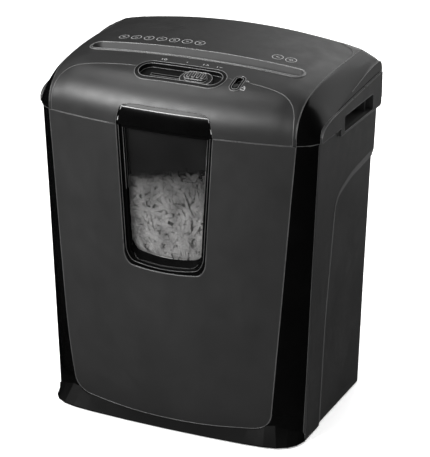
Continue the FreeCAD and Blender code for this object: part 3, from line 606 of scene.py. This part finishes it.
# ---------------------------------------------------------------- recess slopes and corner caps
# Edge of the hand-hold recess in each side, in millimetres: Y and Z, from the foot up and to the rear.
RECESS_EDGE = [
    (-27.5, 2.6), (-27.5, 22), (-27.3, 39), (-26.6, 77), (-25.5, 115), (-23.4, 147), (-20.5, 179),
    (-17.5, 211), (-16.4, 226), (-15.6, 238), (-13.6, 245), (-9.5, 252.5), (-4.0, 257.5),
    (3.5, 260.8), (12.0, 263.5), (28.0, 268), (42.0, 270), (56.0, 271), (74.0, 272.6), (90.0, 274.2),
]
RECESS_REAR, RECESS_FOOT = 93.0, 2.2
SLOPE_WIDTH, SLOPE_DEPTH = 9.5, 2.35
SLOPE_LIFT = 0.22                                # how far the slope starts outside the wall
SLOPE_STEPS = 7


def recess_slopes():
    """The eased step round each side's recess: a soft slope from the wall down to its floor, in a lighter
    charcoal that paints a highlight band on it.
    """
    walls = surface_of("bin_shell")
    for name, side in (("recess_slope_right", 1), ("recess_slope_left", -1)):
        mesh, rows = bmesh.new(), []
        for i, (y, z) in enumerate(RECESS_EDGE):
            ay, az = RECESS_EDGE[max(0, i - 1)]
            by, bz = RECESS_EDGE[min(len(RECESS_EDGE) - 1, i + 1)]
            run = Vector((by - ay, bz - az)).normalized()
            inward = Vector((run.y, -run.x))
            start = Vector((side * 0.2, (y - 1.2 * inward.x) * MM, (z - 1.2 * inward.y) * MM))
            wall = abs(walls.ray_cast(start, Vector((-side, 0, 0)))[0].x) / MM
            row = []
            for step in range(SLOPE_STEPS + 1):
                t = step / SLOPE_STEPS
                at = Vector((y, z)) + inward * (SLOPE_WIDTH * t - 0.5)
                x = wall - ((3 * t * t - 2 * t ** 3) * SLOPE_DEPTH - SLOPE_LIFT)
                rear, height = min(at.x, RECESS_REAR), max(at.y, RECESS_FOOT)
                row.append(mesh.verts.new((side * x * MM, rear * MM, height * MM)))
            rows.append(row)
        join_rows(mesh, rows)
        piece(name, mesh, "bin", looks["slope_charcoal_painted_highlight"])


CAP_CENTRE, CAP_RADIUS = Vector((113.0, 62.0)), 22.4      # the cover's rounded rear corner, in millimetres
CAP_SIDE, CAP_REAR = 135.6, 96.5                 # where the cap ends, at the cover's side and rear
CAP_LIFT = 0.00022
ABOVE = 0.45                                     # height from which a surface is looked for below


def corner_caps():
    """Gloss trim running on behind the top cover's rounded rear corners."""
    cover = surface_of("top_cover")
    for name, side in (("corner_cap_right", 1), ("corner_cap_left", -1)):
        mesh, rows, rim = bmesh.new(), [], []
        for i in range(17):
            turn = math.radians(90 * i / 16)
            arm = Vector((math.cos(turn), math.sin(turn)))
            to_side = (CAP_SIDE - CAP_CENTRE.x) / max(arm.x, 0.001)
            to_rear = (CAP_REAR - CAP_CENTRE.y) / max(arm.y, 0.001)
            limit = min(to_side, to_rear)
            row = []
            for step in range(9):
                at = CAP_CENTRE + arm * (CAP_RADIUS + (limit - CAP_RADIUS) * step / 8)
                place = cover.ray_cast(Vector((side * at.x * MM, at.y * MM, ABOVE)), Vector((0, 0, -1)))[0]
                row.append(mesh.verts.new(place + Vector((0, 0, CAP_LIFT))))
            rows.append(row)
            rim.append(row[0].co.copy())
        join_rows(mesh, rows)
        piece(name, mesh, "head", looks["gloss_black"])
        # A bead along the cap's rim, with a painted sheen.
        bead(name + "_edge", [rim], "head", looks["edge_painted_sheen"], BEAD_RADIUS)


# ---------------------------------------------------------------- shredded paper
SHRED_WIDTH, SHRED_THICKNESS = 0.0042, 0.00012
SHRED_LENGTH = (0.020, 0.040)
SHRED_CURL = (-0.003, 0.004)
SHRED_SINK = 0.0005                              # how far a strip may lie below the heap's surface
SHREDS_IN_WINDOW, SHREDS_ON_TOP = 620, 1900
HEAP_DEPTH, HEAP_WAVES, HEAP_LEAST_DEPTH = 0.0050, 0.0030, 0.0016
WALL_GAP = 0.001                                 # between the strips and the bin's walls
SQUEEZE = 0.003                                  # strips this near the front wall are pressed flatter
FRONT_GAP = 0.0005
BOW_FLAT, BOW_DIAMETER = 0.02, 1.18              # the front wall: half its flat middle, and its curve
SURFACE_GAP = 0.0006                             # how far a strip may stand proud of the CAD heap


def waves(point, size, seed):
    """Smooth random height made of two layers of noise, at most 1.5 either way."""
    return noise.noise(point / size + Vector((seed, 0, 0))) + 0.5 * noise.noise(point / (size * 0.4))


def heap_mesh(skin):
    """Lumpy body of packed strips, pressed in from the surface of the CAD heap."""
    low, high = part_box("paper_shreds")
    mesh = bmesh.new()
    bmesh.ops.create_cube(mesh, size=1.0)
    bmesh.ops.subdivide_edges(mesh, edges=mesh.edges, cuts=46, use_grid_fill=True)
    middle = (Vector(low) + Vector(high)) / 2
    for vertex in mesh.verts:
        target = Vector([middle[i] + vertex.co[i] * (high[i] - low[i]) for i in range(3)])
        place, normal, _, _ = skin.find_nearest(target)
        depth = HEAP_DEPTH + HEAP_WAVES * waves(place, 0.016, 3.0)
        vertex.co = place - normal * max(HEAP_LEAST_DEPTH, depth)
    return mesh


def strip(mesh, centre, normal, along, length, curl, lift):
    """One cut strip of paper: a thin curved and twisted band lying on a surface."""
    side = normal.cross(along).normalized()
    sections, half = [], SHRED_WIDTH / 2
    for i in range(7):
        t = i / 6 - 0.5
        bend = curl * (4 * t * t)
        wander = side * 0.0015 * math.sin(5 * t + curl * 900)
        spine = centre + along * length * t + normal * (lift + bend) + wander
        roll = side + normal * 0.5 * math.sin(3 * t + length * 400)
        roll.normalize()
        up = along.cross(roll).normalized() * (SHRED_THICKNESS / 2)
        sections.append([mesh.verts.new(spine + roll * a * half + up * b)
                         for a, b in ((-1, -1), (1, -1), (1, 1), (-1, 1))])
    for p, q in zip(sections, sections[1:]):
        for k in range(4):
            mesh.faces.new((p[k], p[(k + 1) % 4], q[(k + 1) % 4], q[k]))
    mesh.faces.new(sections[0][::-1])
    mesh.faces.new(sections[-1])


def scatter(mesh, skin, spots, rise):
    """Lays strips at the spots, each a starting point and the way to look for the heap."""
    for origin, way in spots:
        place, normal, _, _ = skin.ray_cast(origin, way)
        if place is None:
            continue
        turn = random.uniform(0, math.pi)
        across = normal.orthogonal().normalized()
        along = across * math.cos(turn) + normal.cross(across) * math.sin(turn)
        along = (along + normal * random.uniform(-0.35, 0.35)).normalized()
        facing = along.cross(normal).cross(along).normalized()
        strip(mesh, place, facing, along, random.uniform(*SHRED_LENGTH),
              random.uniform(*SHRED_CURL), random.uniform(-SHRED_SINK, rise))


def keep_inside(mesh, skin):
    """Pulls strips back behind the bin's walls and its bowed front; the open top of the heap stays free."""
    low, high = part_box("paper_shreds")
    for vertex in mesh.verts:
        x = min(max(vertex.co.x, low[0] + WALL_GAP), high[0] - WALL_GAP)
        front = low[1] + FRONT_GAP + max(0.0, abs(x) - BOW_FLAT) ** 2 / BOW_DIAMETER
        ahead = vertex.co.y - front
        if ahead < SQUEEZE:
            ahead = SQUEEZE * math.exp(ahead / SQUEEZE - 1)
        vertex.co = (x, min(front + ahead, high[1] - WALL_GAP), vertex.co.z)
        place, normal, _, _ = skin.find_nearest(vertex.co)
        if normal.z < 0.5 and (vertex.co - place).dot(normal) > SURFACE_GAP:
            vertex.co = place + normal * random.uniform(-SURFACE_GAP, SURFACE_GAP)


def make_paper():
    skin = surface_of("paper_shreds")
    low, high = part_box("paper_shreds")
    body = heap_mesh(skin)
    heap_skin = BVHTree.FromBMesh(body)
    heap = piece("paper_heap", body, "bin", looks["shredded_paper"], smooth=False)
    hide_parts("paper_shreds")
    window = [(Vector((random.uniform(-0.060, 0.060), low[1] - 0.02, random.uniform(0.178, high[2] - 0.006))),
               Vector((0, 1, 0))) for _ in range(SHREDS_IN_WINDOW)]
    top = [(Vector((random.uniform(low[0] + 0.004, high[0] - 0.004),
                    random.uniform(low[1] + 0.004, high[1] - 0.004), high[2] + 0.02)),
            Vector((0, 0, -1))) for _ in range(SHREDS_ON_TOP)]
    for name, spots, rise in (("paper_strips_front", window, 0.004), ("paper_strips_top", top, 0.007)):
        mesh = bmesh.new()
        scatter(mesh, heap_skin, spots, rise)
        keep_inside(mesh, skin)
        piece(name, mesh, "bin", looks["paper_strips"], smooth=False)


# ---------------------------------------------------------------- printed marks
MARK_ROW, MARK_RING, BAR_WIDTH = 4.8, 5.2, 0.0007
PAIR_ROW, PAIR_RING = 3.6, 5.6
SCALE_ROW = -42.9
LOCK_X = 72.6


class Print:
    """Ink strokes drawn in plan and dropped onto the covers."""

    WIDTH, LIFT = 0.0005, 0.00009

    def __init__(self, skin):
        self.skin = skin
        self.mesh = bmesh.new()

    def drop(self, x, y):
        place = self.skin.ray_cast(Vector((x, y, ABOVE)), Vector((0, 0, -1)))[0]
        return None if place is None else place + Vector((0, 0, self.LIFT))

    def stroke(self, points, width=WIDTH):
        """A line of ink through points given in millimetres."""
        half = width / 2
        rows = []
        for i, (x, y) in enumerate(points):
            ax, ay = points[max(0, i - 1)]
            bx, by = points[min(len(points) - 1, i + 1)]
            way = Vector((bx - ax, by - ay)).normalized()
            ends = [self.drop(x * MM + side * way.y * half, y * MM - side * way.x * half) for side in (-1, 1)]
            if None in ends:
                return
            rows.append([self.mesh.verts.new(end) for end in ends])
        join_rows(self.mesh, rows)

    def ring(self, x, y, radius, start=0, end=360):
        steps = max(8, int((end - start) / 15))
        turns = [math.radians(start + (end - start) * i / steps) for i in range(steps + 1)]
        self.stroke([(x + radius * math.cos(a), y + radius * math.sin(a)) for a in turns])

    def line(self, *points, width=WIDTH):
        dense = []
        for (ax, ay), (bx, by) in zip(points, points[1:]):
            dense += [(ax + (bx - ax) * i / 6, ay + (by - ay) * i / 6) for i in range(6)]
        self.stroke(dense + [points[-1]], width)

    def box(self, x, y, w, h):
        self.line((x - w, y - h), (x + w, y - h), (x + w, y + h), (x - w, y + h), (x - w, y - h))


def make_prints():
    """Plain printed marks: rings round a small ring or a bar, a scale of ticks and marks, two padlocks."""
    top = Print(surface_of("top_cover"))
    for place, x in enumerate((-95.0, -80.5, -66.0, -51.5, -37.0, -22.5, -8.0)):
        top.ring(x, MARK_ROW, MARK_RING)
        if place % 2:
            top.line((x - 1.8, MARK_ROW), (x + 1.8, MARK_ROW), width=BAR_WIDTH)
        else:
            top.ring(x, MARK_ROW, 1.1)
    for x in (78.7, 93.2):
        top.ring(x, PAIR_ROW, PAIR_RING)
    top.line((76.7, PAIR_ROW), (80.7, PAIR_ROW), width=BAR_WIDTH)
    top.ring(93.2, PAIR_ROW, 1.6)
    for x, size in ((-28.0, 1.5), (0.0, 1.1), (18.0, 1.5), (33.0, 1.1)):
        top.line((x, SCALE_ROW), (x, SCALE_ROW + 2 * size))
    top.ring(-24.4, -41.4, 1.4)
    top.line((20.6, -42.6), (22.0, -40.2), (23.4, -42.6))
    top.line((35.4, -41.4), (38.4, -41.4))
    bezel = Print(surface_of("control_bezel", "top_cover"))
    for shackle, body, start, end in ((-57.4, -59.0, 0, 180), (-66.4, -68.6, -60, 120)):
        bezel.ring(LOCK_X, shackle, 1.5, start, end)
        bezel.box(LOCK_X, body, 2.0, 1.5)
    for name, drawing in (("top_prints", top), ("lock_prints", bezel)):
        piece(name, drawing.mesh, "head", ink)


make_camera()
make_studio()
make_floor()
dress_frame()
make_edges()
recess_slopes()
corner_caps()
make_paper()
make_prints()
